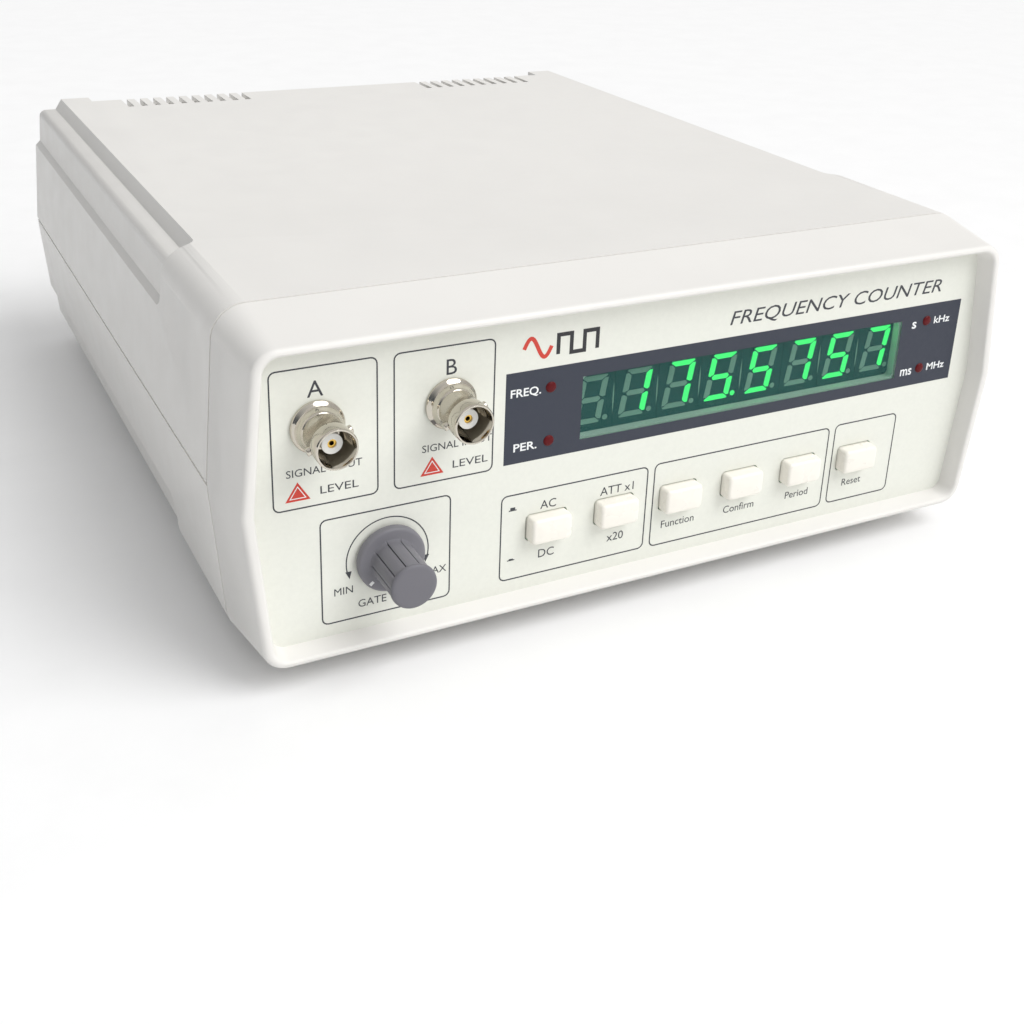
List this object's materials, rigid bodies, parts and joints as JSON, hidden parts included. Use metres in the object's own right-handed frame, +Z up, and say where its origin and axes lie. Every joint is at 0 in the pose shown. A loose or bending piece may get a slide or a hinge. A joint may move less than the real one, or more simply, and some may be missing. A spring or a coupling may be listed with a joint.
{
  "type": "bench frequency counter",
  "caption": "Bench frequency counter in a moulded case, with coaxial inputs, a digit display, push buttons, a gate knob and a fused mains inlet.",
  "frame": {"origin": "bottom centre of the bounding box, on the surface that the feet stand on", "axes": "+Z up, the front panel faces -Y, +X to the right as seen from the front"},
  "size_m": [0.219, 0.2572, 0.089],
  "materials": {
    "case_plastic": "fine texture",
    "panel_plastic": "smooth",
    "panel_film": "matt printed film",
    "filter_plastic": "tinted, glossy",
    "rear_plate": "fine texture",
    "foot_rubber": "matt",
    "screw_steel": "zinc plated",
    "digit_plastic": "glossy",
    "lamp_plastic": "tinted, glossy",
    "board_laminate": "solder mask",
    "switch_plastic": "moulded",
    "button_plastic": "satin",
    "plunger_plastic": "moulded",
    "knob_plastic": "satin",
    "shaft_metal": "turned",
    "pot_metal": "pressed",
    "socket_nickel": "bright nickel plate",
    "insulator_white": "smooth",
    "contact_gold": "gold plate",
    "standoff_brass": "turned",
    "chip_epoxy": "moulded",
    "can_metal": "tinned",
    "sink_aluminium": "black anodised",
    "capacitor_sleeve": "shrunk sleeve",
    "core_steel": "varnished laminations",
    "winding_tape": "tape over copper",
    "cable_pvc": "flexible sleeve",
    "blade_metal": "nickel plate",
    "fuse_glass": "clear tube with metal caps",
    "rocker_plastic": "glossy"
  },
  "bodies": {
    "counter": {"top_cover": "case_plastic", "bottom_cover": "case_plastic", "front_bezel": "case_plastic", "front_panel": "panel_plastic", "panel_overlay": "panel_film", "display_filter": "filter_plastic", "rear_panel": "rear_plate", "rubber_feet": "foot_rubber", "case_screws": "screw_steel", "digit_modules": "digit_plastic", "indicator_leds": "lamp_plastic", "front_board": "board_laminate", "board_screws": "screw_steel", "latching_switches": "switch_plastic", "momentary_switches": "switch_plastic", "potentiometer_body": "pot_metal", "potentiometer_nut": "screw_steel", "input_a_socket": "socket_nickel", "input_b_socket": "socket_nickel", "socket_insulators": "insulator_white", "socket_contacts": "contact_gold", "socket_nuts": "screw_steel", "socket_washers": "screw_steel", "main_board": "board_laminate", "board_standoffs": "standoff_brass", "logic_chips": "chip_epoxy", "crystal_oscillator": "can_metal", "prescaler_shield": "can_metal", "voltage_regulator": "switch_plastic", "heat_sink": "sink_aluminium", "filter_capacitors": "capacitor_sleeve", "transformer_core": "core_steel", "transformer_winding": "winding_tape", "transformer_screws": "screw_steel", "ribbon_cable": "cable_pvc", "input_cables": "cable_pvc", "mains_wires": "cable_pvc", "mains_inlet": "switch_plastic", "inlet_pins": "blade_metal", "inlet_screws": "screw_steel", "power_switch": "switch_plastic"},
    "acdc_key": {"acdc_button": "button_plastic", "acdc_plunger": "plunger_plastic"},
    "attenuator_key": {"attenuator_button": "button_plastic", "attenuator_plunger": "plunger_plastic"},
    "function_key": {"function_button": "button_plastic", "function_plunger": "plunger_plastic"},
    "confirm_key": {"confirm_button": "button_plastic", "confirm_plunger": "plunger_plastic"},
    "period_key": {"period_button": "button_plastic", "period_plunger": "plunger_plastic"},
    "reset_key": {"reset_button": "button_plastic", "reset_plunger": "plunger_plastic"},
    "gate_control": {"gate_knob": "knob_plastic", "knob_cap": "knob_plastic", "potentiometer_shaft": "shaft_metal"},
    "fuse_holder": {"fuse_drawer": "switch_plastic", "fuse": "fuse_glass"},
    "rocker": {"power_rocker": "rocker_plastic"}
  },
  "joints": [
    {"name": "acdc_press", "type": "slide", "parent": "counter", "child": "acdc_key", "axis": [0, 1, 0], "range_m": [0, 0.003], "stiffness_N_per_m": 500, "springref_m": -0.001},
    {"name": "attenuator_press", "type": "slide", "parent": "counter", "child": "attenuator_key", "axis": [0, 1, 0], "range_m": [0, 0.003], "stiffness_N_per_m": 500, "springref_m": -0.001},
    {"name": "function_press", "type": "slide", "parent": "counter", "child": "function_key", "axis": [0, 1, 0], "range_m": [0, 0.0025], "stiffness_N_per_m": 500, "springref_m": -0.001},
    {"name": "confirm_press", "type": "slide", "parent": "counter", "child": "confirm_key", "axis": [0, 1, 0], "range_m": [0, 0.0025], "stiffness_N_per_m": 500, "springref_m": -0.001},
    {"name": "period_press", "type": "slide", "parent": "counter", "child": "period_key", "axis": [0, 1, 0], "range_m": [0, 0.0025], "stiffness_N_per_m": 500, "springref_m": -0.001},
    {"name": "reset_press", "type": "slide", "parent": "counter", "child": "reset_key", "axis": [0, 1, 0], "range_m": [0, 0.0025], "stiffness_N_per_m": 500, "springref_m": -0.001},
    {"name": "gate_turn", "type": "hinge", "parent": "counter", "child": "gate_control", "pos_m": [-0.07215, -0.1129, 0.0286], "axis": [0, 1, 0], "range_deg": [0, 300]},
    {"name": "rocker_tip", "type": "hinge", "parent": "counter", "child": "rocker", "pos_m": [0.015, 0.1132, 0.0475], "axis": [-1, 0, 0], "range_deg": [0, 24]},
    {"name": "fuse_pull", "type": "slide", "parent": "counter", "child": "fuse_holder", "axis": [0, 1, 0], "range_m": [0, 0.018]}
  ]
}
